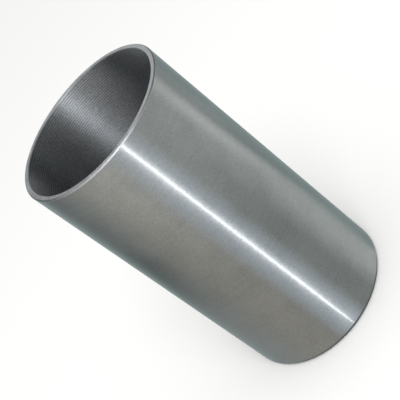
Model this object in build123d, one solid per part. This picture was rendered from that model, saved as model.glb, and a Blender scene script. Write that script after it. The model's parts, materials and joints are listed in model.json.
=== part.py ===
from build123d import *

import math
import os

# A dry cylinder liner: the plain thin iron sleeve that is pressed into an engine block and
# that the piston then runs in. It is turned as one piece, with no flange at either end.
# It stands on its bottom end: +Z runs along the bore to the top (deck) end, and the origin
# is the centre of the bottom face. All sizes are in millimetres.

# Bore and wall. The bore is left half a millimetre a side small, to be finished in the block.
bore_diameter = 89.0
wall_thickness = 3.0
liner_length = 182.0

# The lead-in is the long, shallow chamfer round the outside of the bottom end. It starts the
# liner in its block, and is turned at an angle to the axis, along this length of the wall.
lead_in_length = 2.4
lead_in_angle = 30.0

# Edge breaks at 45 degrees: round the outside of the top face, and at both mouths of the bore.
top_edge_break = 0.6
bore_edge_break = 0.3

bore_radius = bore_diameter / 2
outer_radius = bore_radius + wall_thickness
mouth_radius = bore_radius + bore_edge_break
lead_in_depth = lead_in_length * math.tan(math.radians(lead_in_angle))


def wall_section():
    """The wall cut through on one side of the axis, from the bottom face up, in the XZ plane."""
    foot_of_lead_in = (outer_radius - lead_in_depth, 0)
    top_of_lead_in = (outer_radius, lead_in_length)
    below_top_edge = (outer_radius, liner_length - top_edge_break)
    edge_of_top_face = (outer_radius - top_edge_break, liner_length)
    top_mouth = (mouth_radius, liner_length)
    top_of_bore = (bore_radius, liner_length - bore_edge_break)
    foot_of_bore = (bore_radius, bore_edge_break)
    bottom_mouth = (mouth_radius, 0)
    with BuildSketch(Plane.XZ) as section:
        with BuildLine():
            Polyline(
                foot_of_lead_in,
                top_of_lead_in,
                below_top_edge,
                edge_of_top_face,
                top_mouth,
                top_of_bore,
                foot_of_bore,
                bottom_mouth,
                close=True,
            )
        make_face()
    return section.sketch


def cylinder_liner():
    """The section turned once round the bore axis: one solid."""
    with BuildPart() as liner:
        add(wall_section())
        revolve(axis=Axis.Z)
    return liner.part


os.makedirs("parts", exist_ok=True)
export_step(cylinder_liner(), "parts/cylinder_liner.step")
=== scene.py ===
import json
import math

import bpy
from mathutils import Matrix, Vector


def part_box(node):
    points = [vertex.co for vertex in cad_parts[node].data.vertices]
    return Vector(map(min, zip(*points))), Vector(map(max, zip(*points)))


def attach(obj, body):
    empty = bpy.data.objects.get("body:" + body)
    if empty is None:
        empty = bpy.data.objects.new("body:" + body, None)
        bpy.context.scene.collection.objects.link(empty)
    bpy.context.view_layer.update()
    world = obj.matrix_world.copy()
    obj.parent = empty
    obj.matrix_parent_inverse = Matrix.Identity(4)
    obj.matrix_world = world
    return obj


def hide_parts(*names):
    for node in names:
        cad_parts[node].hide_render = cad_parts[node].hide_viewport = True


# A dry cylinder liner in bright grey iron: ground outside, faced at both ends, and bored
# with a coarse feed whose marks are still on the wall. It stands on its lead-in end.
# Lengths are in metres. Azimuths are in degrees about the axis, with 0 at +X. The camera
# stands at the front.

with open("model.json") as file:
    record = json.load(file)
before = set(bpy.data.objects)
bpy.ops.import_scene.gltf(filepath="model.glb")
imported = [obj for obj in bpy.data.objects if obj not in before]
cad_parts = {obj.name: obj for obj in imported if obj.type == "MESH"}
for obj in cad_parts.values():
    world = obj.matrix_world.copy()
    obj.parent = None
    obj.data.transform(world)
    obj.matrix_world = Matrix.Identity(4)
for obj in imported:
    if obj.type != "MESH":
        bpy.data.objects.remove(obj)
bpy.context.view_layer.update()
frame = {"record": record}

MM = 0.001
FRONT = -90


def mount(name):
    """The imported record's mount of this name."""
    return next(m for m in frame["record"]["mounts"] if m["name"] == name)


# The section of the liner. All but the lead-in's angle comes from the frame.
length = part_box("cylinder_liner")[1].z
outside, bore = mount("outside_diameter"), mount("bore")
outer_radius = outside["dims"]["r_mm"] * MM
bore_radius = bore["dims"]["r_mm"] * MM
bore_edge_break = (length - bore["dims"]["length_mm"] * MM) / 2
lead_in_length = outside["pos_m"][2] - outside["dims"]["length_mm"] * MM / 2
top_edge_break = length - lead_in_length - outside["dims"]["length_mm"] * MM
lead_in_angle = math.radians(30)
mouth_radius = bore_radius + bore_edge_break
foot_radius = outer_radius - lead_in_length * math.tan(lead_in_angle)
shoulder_radius = outer_radius - top_edge_break

# The boring tool moved this far along at each turn, and its nose cut this deep a groove.
bore_feed = 1.35 * MM
groove_depth = 0.02 * MM

# Round the liner there are this many facets, and its corners are this little rounded.
FACETS = 256
corner_radius = 0.12 * MM

# Points nearer than this are one point, and a cut takes points this near as lying on it.
NEAR = 0.005 * MM
ON_CUT = 0.0005 * MM

# A normal that rises by less than this is the outside's, and one within this of straight up
# or down is an end face's. Edges that turn by more than the angle stay sharp.
SQUARE = 0.1
SHARP = math.radians(5)

# The camera stands on the liner's front side, looks down by the dip, and is turned on its
# side by the roll, so that the liner lies slantwise in the picture.
CAMERA_PLACE = (0, -477.8 * MM, 391.2 * MM)
CAMERA_HEADING = math.radians(-0.33)
CAMERA_DIP = math.radians(31.27)
CAMERA_ROLL = math.radians(-52.53)
CAMERA_SENSOR = 36
CAMERA_LENS = 92.86

# A dish of card stands round the liner for its polish to mirror: it lies on the floor as far
# as this radius, and stands up from there. The dish and the lights before it are kept this
# far apart.
DISH_RADIUS = 130 * MM
DISH_HEIGHT = 700 * MM
DISH_SIDES = 72
CLEAR = 1 * MM

# What the outside mirrors lies this many times as far round from the front as the place that
# mirrors it, if it is far away. What touches the liner lies just as far round.
FAR_TURN = 2.11

# The soft patches of light on the dish. A patch is placed by the azimuths on the outside
# that mirror it: it comes up from the first to the second, and goes down from the third to
# the fourth. At its lowest and highest places it fades over the soft height. The floor is
# set under the dish and the top over it, so that nothing fades there.
WHITE, COOL, BLUE, AMBER = "#FFFFFF", "#EAFEFF", "#CCDCFF", "#FFC080"
FLOOR, KNEE, BAND, SHELF, TOP = -100 * MM, 25 * MM, 80 * MM, 190 * MM, 900 * MM
SOFT_HEIGHT = 40 * MM
PATCHES = [
    # first, second, third and fourth azimuth, lowest, highest, light, colour
    (-200, -190, -165, -153, FLOOR, SHELF, 0.78, COOL),
    (-165, -153, -38, -32, FLOOR, SHELF, 0.3, COOL),
    (-38, -32, 20, 30, FLOOR, SHELF, 0.72, COOL),
    (-165, -150, -40, -28, FLOOR, KNEE, 0.57, WHITE),
    (-145, -122, -108, -97, FLOOR, SHELF, 0.2, AMBER),
    (-63, -49, -36, -28, FLOOR, KNEE, 0.6, WHITE),
    (-145, -118, -66, -45, KNEE, BAND, 0.4, WHITE),
    (-64, -42, -37, -33, KNEE, BAND, 1.15, WHITE),
    (-165, -110, -46, -24, BAND, SHELF, 1.03, WHITE),
    (-52, -45, -42, -37, BAND, SHELF, 0.75, WHITE),
    (-104, -93, -86, -76, FLOOR, BAND, 0.38, WHITE),
    (-104, -93, -86, -76, FLOOR, SHELF, 0.65, BLUE),
    (-150, -115, -88, -76, SHELF, TOP, 1.1, WHITE),
    (-150, -115, -66, -30, SHELF, TOP, 0.4, WHITE),
    (-200, -190, -178, -165, SHELF, TOP, 0.6, WHITE),
    (-15, -5, 20, 30, SHELF, TOP, 0.7, WHITE),
]

# The strip light that draws the bright line: the azimuth that it starts from on the outside,
# and its light from side to side, by the azimuth about that start. From the first height to
# the second, it dims to half.
LINE_AZIMUTH = -89.45
STRIP_LIGHT = 11
STRIP_TONES = [
    (-101, "#000000"),
    (-96, "#38383A"),
    (-92, "#545454"),
    (-89.8, "#828282"),
    (-89.6, "#FFFBFC"),
    (-88.3, "#FFFBFC"),
    (-88.1, "#7D7D7D"),
    (-85, "#5A5C5E"),
    (-81, "#38383B"),
    (-77, "#000000"),
]
STRIP_DIM_FROM, STRIP_DIM_TO = 180 * MM, 240 * MM

# A bright card high up in front, which lights the far side of the bore: its width and height,
# and how high its middle is.
BORE_CARD_AZIMUTH = -95.3
BORE_CARD_SIZE = (20 * MM, 160 * MM)
BORE_CARD_HEIGHT = 380 * MM
BORE_CARD_LIGHT = 25

# The width of the floor, the white of the world, and the round lamp over the front: its
# width, how far it is from the liner's middle, how steeply it shines down from there, and
# how bright its face is.
FLOOR_WIDTH = 8
WORLD_LIGHT = 0.95
LAMP_WIDTH = 400 * MM
LAMP_AWAY = 900 * MM
LAMP_RISE = math.radians(60)
LAMP_LIGHT = 7.5

# How light the faced end is round its ring. This is painted light and shade: the end is drawn
# lighter on the side where the light falls on it.
FACE_PAINTED_LIGHT_TONES = [
    (-180, "#A8ABAC"),
    (-90, "#8A8D8E"),
    (-45, "#D2D5D6"),
    (0, "#C6C9CA"),
    (60, "#8A8D8E"),
    (180, "#A8ABAC"),
]

# The Mix node's sockets for colours, which share their names with its sockets for numbers.
MIX_FACTOR, MIX_FIRST, MIX_SECOND, MIXED = 0, 6, 7, 2

# The values of a pattern of spots are nearly all between these two.
LOW_SPOT, HIGH_SPOT = 0.25, 0.75

# The shader counts its turns from 0 to 1: a quarter lays the stretched shine along the axis.
QUARTER_TURN = 0.25


def choose_rings(piece, rings):
    """Selects, in edit mode, the edges that have both ends on one of the rings.

    A ring is its least and its most radius, and its height.
    """
    bpy.ops.mesh.select_mode(type="EDGE")
    bpy.ops.mesh.select_all(action="DESELECT")
    bpy.ops.object.mode_set(mode="OBJECT")
    for (least, most), height in rings:
        on_ring = [
            least - NEAR < v.co.xy.length < most + NEAR and abs(v.co.z - height) < NEAR
            for v in piece.data.vertices
        ]
        for edge in piece.data.edges:
            edge.select = edge.select or all(on_ring[end] for end in edge.vertices)
    bpy.ops.object.mode_set(mode="EDIT")


def turned_skin():
    """Both end faces and the outside: a ring at the bottom mouth, drawn from corner to corner."""
    corners = [
        (foot_radius, 0),
        (outer_radius, lead_in_length),
        (outer_radius, length - top_edge_break),
        (shoulder_radius, length),
        (mouth_radius, length),
    ]
    bpy.ops.object.select_all(action="DESELECT")
    bpy.ops.mesh.primitive_circle_add(vertices=FACETS, radius=mouth_radius)
    skin = bpy.context.object
    skin.name = skin.data.name = "liner"
    bpy.ops.object.mode_set(mode="EDIT")
    bpy.ops.mesh.select_mode(type="EDGE")
    radius, height = mouth_radius, 0
    for next_radius, next_height in corners:
        rise = (0, 0, next_height - height)
        grow = next_radius / radius
        bpy.ops.mesh.extrude_region_move(TRANSFORM_OT_translate={"value": rise})
        bpy.ops.transform.resize(value=(grow, grow, 1), center_override=(0, 0, next_height))
        radius, height = next_radius, next_height
    bpy.ops.object.mode_set(mode="OBJECT")
    return skin


def bored_wall():
    """The bore as the tool left it: one groove's section, screwed up the bore turn by turn."""
    bpy.ops.object.select_all(action="DESELECT")
    bpy.ops.mesh.primitive_plane_add(size=bore_feed)
    wall = bpy.context.object
    wall.name = "bored_wall"
    bpy.ops.object.mode_set(mode="EDIT")
    bpy.ops.mesh.select_mode(type="VERT")
    bpy.ops.mesh.merge(type="CENTER")
    bpy.ops.transform.translate(value=(bore_radius, 0, -bore_feed))
    for into_wall in (groove_depth, -groove_depth):
        step = (into_wall, 0, bore_feed / 2)
        bpy.ops.mesh.extrude_vertices_move(TRANSFORM_OT_translate={"value": step})
    bpy.ops.object.mode_set(mode="OBJECT")
    # One more turn starts below the bottom face, and one ends above the top.
    turns = wall.modifiers.new("turns", "SCREW")
    turns.screw_offset = bore_feed
    turns.iterations = math.ceil(length / bore_feed) + 2
    turns.steps = turns.render_steps = FACETS
    bpy.ops.object.modifier_apply(modifier="turns")
    bpy.ops.object.mode_set(mode="EDIT")
    bpy.ops.mesh.select_all(action="SELECT")
    bpy.ops.mesh.remove_doubles(threshold=NEAR)
    for height, outwards in ((bore_edge_break, -1), (length - bore_edge_break, 1)):
        bpy.ops.mesh.select_all(action="SELECT")
        bpy.ops.mesh.bisect(
            plane_co=(0, 0, height),
            plane_no=(0, 0, outwards),
            clear_outer=True,
            threshold=ON_CUT,
        )
    bpy.ops.mesh.select_all(action="SELECT")
    bpy.ops.mesh.remove_doubles(threshold=NEAR)
    bpy.ops.mesh.delete_loose()
    bpy.ops.object.mode_set(mode="OBJECT")
    return wall


def liner():
    """The skin and the bored wall joined at the two mouths, with the section's corners rounded."""
    skin = turned_skin()
    wall = bored_wall()
    bpy.ops.object.select_all(action="DESELECT")
    wall.select_set(True)
    skin.select_set(True)
    bpy.context.view_layer.objects.active = skin
    bpy.ops.object.join()
    bpy.ops.object.mode_set(mode="EDIT")
    cut_radii = (bore_radius - groove_depth, bore_radius + groove_depth)
    mouth_radii = (mouth_radius, mouth_radius)
    for face, cut in ((0, bore_edge_break), (length, length - bore_edge_break)):
        choose_rings(skin, [(mouth_radii, face), (cut_radii, cut)])
        bpy.ops.mesh.bridge_edge_loops()
    bpy.ops.mesh.select_all(action="SELECT")
    bpy.ops.mesh.normals_make_consistent(inside=False)
    round_corners(skin)
    bpy.ops.object.mode_set(mode="OBJECT")
    return skin


def round_corners(skin):
    """Rounds the section's corners, apart from those that the bored wall runs out at."""
    corners = [
        (mouth_radius, 0),
        (foot_radius, 0),
        (outer_radius, lead_in_length),
        (outer_radius, length - top_edge_break),
        (shoulder_radius, length),
        (mouth_radius, length),
    ]
    choose_rings(skin, [((radius, radius), height) for radius, height in corners])
    bpy.ops.mesh.bevel(offset=corner_radius, segments=2, affect="EDGES")


def finish_faces(piece):
    """Gives each face the finish of its cut: bored, ground, faced, turned lead-in or edge break."""
    finishes = [bored_iron(), ground_iron(), faced_iron(), lead_in_iron(), edge_break_iron()]
    bored, ground, faced, lead_in, edge_break = range(len(finishes))
    for material in finishes:
        piece.data.materials.append(material)
    for face in piece.data.polygons:
        rise = abs(face.normal.z)
        if face.center.xy.length < bore_radius + groove_depth:
            face.material_index = bored
        elif rise < SQUARE:
            face.material_index = ground
        elif rise > 1 - SQUARE:
            face.material_index = faced
        elif face.center.z < length / 2:
            face.material_index = lead_in
        else:
            face.material_index = edge_break


def smooth_round(piece):
    """Shades the facets and the feed marks round, and leaves the section's corners sharp."""
    bpy.ops.object.select_all(action="DESELECT")
    piece.select_set(True)
    bpy.context.view_layer.objects.active = piece
    bpy.ops.object.shade_smooth_by_angle(angle=SHARP)


def linear(hex_colour):
    """A colour written as sRGB hex, as the linear values that Blender works in."""
    steps = [int(hex_colour[i : i + 2], 16) / 255 for i in (1, 3, 5)]
    return [s / 12.92 if s < 0.04045 else ((s + 0.055) / 1.055) ** 2.4 for s in steps] + [1]


def add(tree, kind, inputs, **settings):
    """Adds a node with its settings, and sets or links its inputs, by name or number."""
    node = tree.nodes.new("ShaderNode" + kind)
    for name, value in settings.items():
        setattr(node, name, value)
    for name, value in inputs.items():
        if isinstance(value, bpy.types.NodeSocket):
            tree.links.new(value, node.inputs[name])
        else:
            node.inputs[name].default_value = value
    return node


def new_material(name):
    """An empty material, its node tree, and the place of each point in the object."""
    material = bpy.data.materials.new(name)
    material.use_nodes = True
    tree = material.node_tree
    tree.nodes.clear()
    return material, tree, add(tree, "TexCoord", {}).outputs["Object"]


def spots(tree, place, size_mm, detail=1.0):
    """A pattern of spots that are this large in millimetres along x, y and z."""
    scale = [1 / (size * MM) for size in size_mm]
    scaled = add(tree, "Mapping", {"Vector": place, "Scale": scale}).outputs[0]
    noise = add(tree, "TexNoise", {"Vector": scaled, "Scale": 1.0, "Detail": detail})
    return noise.outputs["Fac"]


def weighed(tree, parts):
    """One value about 0.5 from several patterns about 0.5, each with its weight."""
    total = 0.5 - sum(weight for _, weight in parts) / 2
    for pattern, weight in parts:
        inputs = {0: pattern, 1: weight, 2: total}
        total = add(tree, "Math", inputs, operation="MULTIPLY_ADD").outputs[0]
    return total


def azimuth_of(tree, place):
    """The azimuth of a place about the axis, from -180 to 180 degrees."""
    turn = add(tree, "TexGradient", {"Vector": place}, gradient_type="RADIAL").outputs["Fac"]
    return add(tree, "Math", {0: turn, 1: 360, 2: -180}, operation="MULTIPLY_ADD").outputs[0]


def tones(tree, azimuth, stops):
    """The colour at an azimuth, blended from each stop to the next."""
    first, last = stops[0][0], stops[-1][0]
    reach = {"Value": azimuth, "From Min": first, "From Max": last}
    ramp = add(tree, "ValToRGB", {"Fac": add(tree, "MapRange", reach).outputs[0]})
    elements = ramp.color_ramp.elements
    elements.remove(elements[1])
    for index, (place, tone) in enumerate(stops):
        position = (place - first) / (last - first)
        stop = elements.new(position) if index else elements[0]
        stop.position = position
        stop.color = linear(tone)
    return ramp.outputs["Color"]


def cut_iron(tree, tone, dark, light, dull, roughness, stretch, relief, relief_mm):
    """Bare iron whose cutting marks run round the axis, so that its shine stretches along it.

    The tone goes from the dark colour to the light one, and the dull pattern sets where the
    roughness goes from its first value to its second. The relief is this many mm deep.
    """
    shares = {MIX_FACTOR: tone, MIX_FIRST: dark, MIX_SECOND: light}
    colour = add(tree, "Mix", shares, data_type="RGBA").outputs[MIXED]
    reach = {"Value": dull, "From Min": LOW_SPOT, "From Max": HIGH_SPOT}
    reach.update({"To Min": roughness[0], "To Max": roughness[1]})
    bump = add(tree, "Bump", {"Height": relief, "Distance": relief_mm * MM, "Strength": 1.0})
    inputs = {
        "Base Color": colour,
        "Metallic": 1.0,
        "Roughness": add(tree, "MapRange", reach).outputs[0],
        "Anisotropic": stretch,
        "Anisotropic Rotation": QUARTER_TURN,
        "Tangent": add(tree, "Tangent", {}, direction_type="RADIAL", axis="Z").outputs[0],
        "Normal": bump.outputs[0],
    }
    metal = add(tree, "BsdfPrincipled", inputs)
    add(tree, "OutputMaterial", {"Surface": metal.outputs[0]})


def ground_iron():
    """Grey iron, ground between wheels: grey and clean, with one long, straight highlight.

    The scratches of grinding go round the liner a few hundredths of a millimetre apart, too
    fine to show. Their uneven depth is drawn as a 1 mm grain, and the wheel's passes as soft
    rings 2.5 mm high. The larger, fainter patches are where the iron took the wheel unevenly.
    """
    material, tree, place = new_material("ground_grey_iron")
    grain = spots(tree, place, (1.0, 1.0, 1.0))
    patches = spots(tree, place, (14, 14, 18), 3.0)
    rings = spots(tree, place, (4000, 4000, 2.5))
    tone = weighed(tree, [(grain, 0.9), (patches, 0.9), (rings, 0.3)])
    dark, light = linear("#717371"), linear("#8B8D8B")
    cut_iron(tree, tone, dark, light, patches, (0.26, 0.31), 1.0, grain, 0.00004)
    return material


def faced_iron():
    """Grey iron, faced on a lathe: pale and matt, with painted light and shade that make it lighter
    on one side of the ring.

    The facing marks are a tenth of a millimetre apart, too fine to show. Their unevenness is
    drawn as a 1.2 mm grain.
    """
    material, tree, place = new_material("faced_grey_iron")
    grain = spots(tree, place, (1.2, 1.2, 1.2))
    patches = spots(tree, place, (5, 5, 5), 2.0)
    tone = weighed(tree, [(grain, 1.0), (patches, 1.0)])
    # The dark colour runs round the ring as painted light and shade.
    dark = tones(tree, azimuth_of(tree, place), FACE_PAINTED_LIGHT_TONES)
    cut_iron(tree, tone, dark, linear("#D8DADB"), grain, (0.5, 0.6), 0.3, grain, 0.01)
    return material


def bored_iron():
    """Grey iron, bored with one coarse cut: fine rings that follow the feed, painted lighter on
    their crests, and torn specks.

    The tone is worked out from the feed, so that it is lightest on the crests of the mesh's own
    grooves and darkest in their roots: a painted highlight and painted shade for the light that
    the grooves catch. Where the tool tore the iron, the specks are drawn about 1 mm across.
    """
    material, tree, place = new_material("bored_grey_iron")
    height = add(tree, "SeparateXYZ", {"Vector": place}).outputs["Z"]
    half_turns = add(tree, "Math", {0: height, 1: bore_feed / 2}, operation="DIVIDE").outputs[0]
    turn = add(tree, "Math", {0: azimuth_of(tree, place), 1: -180}, operation="DIVIDE").outputs[0]
    wound = add(tree, "Math", {0: turn, 1: half_turns}, operation="ADD").outputs[0]
    risen = add(tree, "Math", {0: wound, 1: 1.0}, operation="SUBTRACT").outputs[0]
    # Lighter on the crests and darker in the roots: a painted highlight and painted shade of the
    # feed marks.
    painted_groove_light = add(tree, "Math", {0: risen, 1: 1.0}, operation="PINGPONG").outputs[0]
    specks = spots(tree, place, (1.2, 1.2, 0.8))
    patches = spots(tree, place, (10, 10, 10), 2.0)
    tone = weighed(tree, [(painted_groove_light, 1.0), (specks, 1.6), (patches, 0.6)])
    dark, light = linear("#8E9193"), linear("#C2C5C7")
    cut_iron(tree, tone, dark, light, specks, (0.48, 0.54), 0.93, specks, 0.003)
    return material


def turned_iron(name, dark, light):
    """Grey iron, turned with a form tool: a narrow, even band without the polish of grinding.

    Its marks are too fine to show, so they are drawn as dashes 2 mm long and 0.5 mm high.
    """
    material, tree, place = new_material(name)
    dashes = spots(tree, place, (2, 2, 0.5))
    cut_iron(tree, dashes, linear(dark), linear(light), dashes, (0.46, 0.56), 0.4, dashes, 0.005)
    return material


def lead_in_iron():
    """The lead-in: turned, and coloured dark as painted shade where it faces down to the floor, so
    it is the darkest band on the liner.
    """
    return turned_iron("lead_in_painted_shade_iron", "#505356", "#6A6D70")


def edge_break_iron():
    """The top edge break: a turned cut coloured light, a painted highlight that draws a thin bright
    line round the rim.
    """
    return turned_iron("edge_break_painted_highlight_iron", "#A2A5A6", "#BCBFC0")


def floor_paper():
    """White paper on the floor: matt, and even enough to show only the liner's shadow."""
    material, tree, _ = new_material("floor_paper")
    matt = add(tree, "BsdfDiffuse", {"Color": linear("#F4F4F2")})
    add(tree, "OutputMaterial", {"Surface": matt.outputs[0]})
    return material


def dish_card():
    """The dish's card, lit in soft patches, each placed where the outside mirrors it."""
    material, tree, place = new_material("dish_card")
    height = add(tree, "SeparateXYZ", {"Vector": place}).outputs["Z"]
    level = add(tree, "VectorMath", {0: place, 1: (1, 1, 0)}, operation="MULTIPLY").outputs[0]
    radius = add(tree, "VectorMath", {0: level}, operation="LENGTH").outputs["Value"]
    near = add(tree, "Math", {0: outer_radius, 1: radius}, operation="DIVIDE").outputs[0]
    inputs = {0: near, 1: 1 - FAR_TURN, 2: FAR_TURN}
    times_round = add(tree, "Math", inputs, operation="MULTIPLY_ADD").outputs[0]
    # Turned by a quarter, the azimuth is 0 in front of the liner, and its seam is behind.
    fronted = add(tree, "Mapping", {"Vector": place, "Rotation": (0, 0, math.pi / 2)}).outputs[0]
    round_card = azimuth_of(tree, fronted)
    round_liner = add(tree, "Math", {0: round_card, 1: times_round}, operation="DIVIDE").outputs[0]
    azimuth = add(tree, "Math", {0: round_liner, 1: FRONT}, operation="ADD").outputs[0]
    # The card itself is dark, and each patch adds its light.
    total = add(tree, "Emission", {"Strength": 0.0})
    for first, second, third, fourth, lowest, highest, light, colour in PATCHES:
        fades = [
            (azimuth, first, second),
            (azimuth, fourth, third),
            (height, lowest - SOFT_HEIGHT / 2, lowest + SOFT_HEIGHT / 2),
            (height, highest + SOFT_HEIGHT / 2, highest - SOFT_HEIGHT / 2),
        ]
        strength = light
        for value, none, full in fades:
            fade = add(tree, "MapRange", {"Value": value, "From Min": none, "From Max": full})
            inputs = {0: fade.outputs[0], 1: strength}
            strength = add(tree, "Math", inputs, operation="MULTIPLY").outputs[0]
        patch = add(tree, "Emission", {"Color": linear(colour), "Strength": strength})
        total = add(tree, "AddShader", {0: total.outputs[0], 1: patch.outputs[0]})
    add(tree, "OutputMaterial", {"Surface": total.outputs[0]})
    return material


def strip_glow(corner):
    """The strip light: a thin bright line in a soft glow, fanned out from this corner."""
    material, tree, place = new_material("strip_glow")
    away = [-along for along in corner]
    fanned = add(tree, "Mapping", {"Vector": place, "Location": away}).outputs[0]
    line = tones(tree, azimuth_of(tree, fanned), STRIP_TONES)
    height = add(tree, "SeparateXYZ", {"Vector": place}).outputs["Z"]
    reach = {"Value": height, "From Min": STRIP_DIM_FROM, "From Max": STRIP_DIM_TO}
    reach.update({"To Min": STRIP_LIGHT, "To Max": STRIP_LIGHT / 2})
    strength = add(tree, "MapRange", reach).outputs[0]
    glow = add(tree, "Emission", {"Color": line, "Strength": strength})
    clear = add(tree, "BsdfTransparent", {})
    both = add(tree, "AddShader", {0: glow.outputs[0], 1: clear.outputs[0]})
    add(tree, "OutputMaterial", {"Surface": both.outputs[0]})
    return material


def bore_card_glow():
    """The card over the bore, lit evenly and a little blue."""
    material, tree, _ = new_material("bore_card_glow")
    glow = add(tree, "Emission", {"Color": linear("#F4F9FF"), "Strength": BORE_CARD_LIGHT})
    add(tree, "OutputMaterial", {"Surface": glow.outputs[0]})
    return material


def only_mirrored(thing, material):
    """Makes this part of the studio show in the iron's shine, and nowhere else."""
    thing.data.materials.append(material)
    thing.visible_camera = thing.visible_diffuse = thing.visible_shadow = False


def studio_floor():
    """The pale floor, wide enough to fill every view."""
    bpy.ops.object.select_all(action="DESELECT")
    bpy.ops.mesh.primitive_plane_add(size=FLOOR_WIDTH)
    floor = bpy.context.object
    floor.name = "floor"
    floor.data.materials.append(floor_paper())


def dish():
    """The dish of card: a ring at the top, drawn down to the floor and then in to the liner."""
    bpy.ops.object.select_all(action="DESELECT")
    bpy.ops.mesh.primitive_circle_add(vertices=DISH_SIDES, radius=DISH_RADIUS)
    card = bpy.context.object
    card.name = "dish"
    drop = (0, 0, CLEAR - DISH_HEIGHT)
    shrink = (outer_radius + CLEAR) / DISH_RADIUS
    bpy.ops.object.mode_set(mode="EDIT")
    bpy.ops.mesh.select_mode(type="EDGE")
    bpy.ops.transform.translate(value=(0, 0, DISH_HEIGHT))
    bpy.ops.mesh.extrude_region_move(TRANSFORM_OT_translate={"value": drop})
    bpy.ops.mesh.extrude_region_move(TRANSFORM_OT_translate={"value": (0, 0, 0)})
    bpy.ops.transform.resize(value=(shrink, shrink, 1), center_override=(0, 0, CLEAR))
    bpy.ops.object.mode_set(mode="OBJECT")
    only_mirrored(card, dish_card())


def strip_light():
    """The strip light, as it lies on the floor up to the liner's foot and then stands up."""
    line_turn = math.radians(LINE_AZIMUTH)
    corner = (outer_radius * math.cos(line_turn), outer_radius * math.sin(line_turn), 0)
    reach = DISH_RADIUS - outer_radius - CLEAR
    sides = [math.radians(STRIP_TONES[end][0] - FRONT) for end in (0, -1)]
    left, right = [reach * math.tan(side) for side in sides]
    bpy.ops.object.select_all(action="DESELECT")
    bpy.ops.mesh.primitive_plane_add(size=1)
    strip = bpy.context.object
    strip.name = "strip_light"
    bpy.ops.object.mode_set(mode="EDIT")
    bpy.ops.transform.resize(value=(right - left, reach, 1))
    middle = (corner[0] + (left + right) / 2, corner[1] - reach / 2, 2 * CLEAR)
    bpy.ops.transform.translate(value=middle)
    bpy.ops.mesh.select_mode(type="EDGE")
    bpy.ops.mesh.select_all(action="DESELECT")
    bpy.ops.object.mode_set(mode="OBJECT")
    for edge in strip.data.edges:
        edge.select = all(strip.data.vertices[end].co.y < middle[1] for end in edge.vertices)
    bpy.ops.object.mode_set(mode="EDIT")
    stand = (0, 0, DISH_HEIGHT - 2 * CLEAR)
    bpy.ops.mesh.extrude_region_move(TRANSFORM_OT_translate={"value": stand})
    bpy.ops.object.mode_set(mode="OBJECT")
    only_mirrored(strip, strip_glow(corner))


def bore_card():
    """The bright upright card high up in front, just inside the dish."""
    bpy.ops.object.select_all(action="DESELECT")
    bpy.ops.mesh.primitive_plane_add(size=1)
    card = bpy.context.object
    card.name = "bore_card"
    across, tall = BORE_CARD_SIZE
    bpy.ops.object.mode_set(mode="EDIT")
    bpy.ops.transform.resize(value=(across, tall, 1))
    bpy.ops.transform.rotate(value=math.pi / 2, orient_axis="X")
    bpy.ops.transform.translate(value=(0, 3 * CLEAR - DISH_RADIUS, BORE_CARD_HEIGHT))
    bpy.ops.object.mode_set(mode="OBJECT")
    card.rotation_euler.z = math.radians(BORE_CARD_AZIMUTH - FRONT)
    bpy.ops.object.transform_apply(rotation=True)
    only_mirrored(card, bore_card_glow())


def studio_light():
    """A white world, and one soft round lamp over the front that gives the liner its shadow."""
    world = bpy.data.worlds.new("studio")
    bpy.context.scene.world = world
    world.use_nodes = True
    background = world.node_tree.nodes["Background"]
    background.inputs["Color"].default_value = linear(WHITE)
    background.inputs["Strength"].default_value = WORLD_LIGHT
    # A disk's watts are pi times its area, for each unit that its face is bright.
    disk_area = math.pi * LAMP_WIDTH**2 / 4
    data = bpy.data.lights.new("overhead", "AREA")
    data.shape = "DISK"
    data.size = LAMP_WIDTH
    data.energy = LAMP_LIGHT * math.pi * disk_area
    lamp = bpy.data.objects.new("overhead", data)
    bpy.context.scene.collection.objects.link(lamp)
    away = LAMP_AWAY * Vector((0, -math.cos(LAMP_RISE), math.sin(LAMP_RISE)))
    lamp.location = Vector((0, 0, length / 2)) + away
    lamp.rotation_euler = (-away).to_track_quat("-Z", "Y").to_euler()
    lamp.visible_camera = lamp.visible_glossy = False


def photo_camera():
    """The camera where the photograph was taken from, turned on its side as it was there."""
    data = bpy.data.cameras.new("photo_camera")
    data.sensor_width = CAMERA_SENSOR
    data.lens = CAMERA_LENS
    camera = bpy.data.objects.new("photo_camera", data)
    bpy.context.scene.collection.objects.link(camera)
    heading = Matrix.Rotation(CAMERA_HEADING, 4, "Z")
    tilt = Matrix.Rotation(math.pi / 2 - CAMERA_DIP, 4, "X")
    roll = Matrix.Rotation(CAMERA_ROLL, 4, "Z")
    camera.matrix_world = Matrix.Translation(CAMERA_PLACE) @ heading @ tilt @ roll
    bpy.context.scene.camera = camera


bpy.context.scene.view_settings.view_transform = "Standard"
photo_camera()
studio_floor()
dish()
strip_light()
bore_card()
studio_light()
piece = liner()
finish_faces(piece)
smooth_round(piece)
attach(piece, "root")
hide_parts("cylinder_liner")
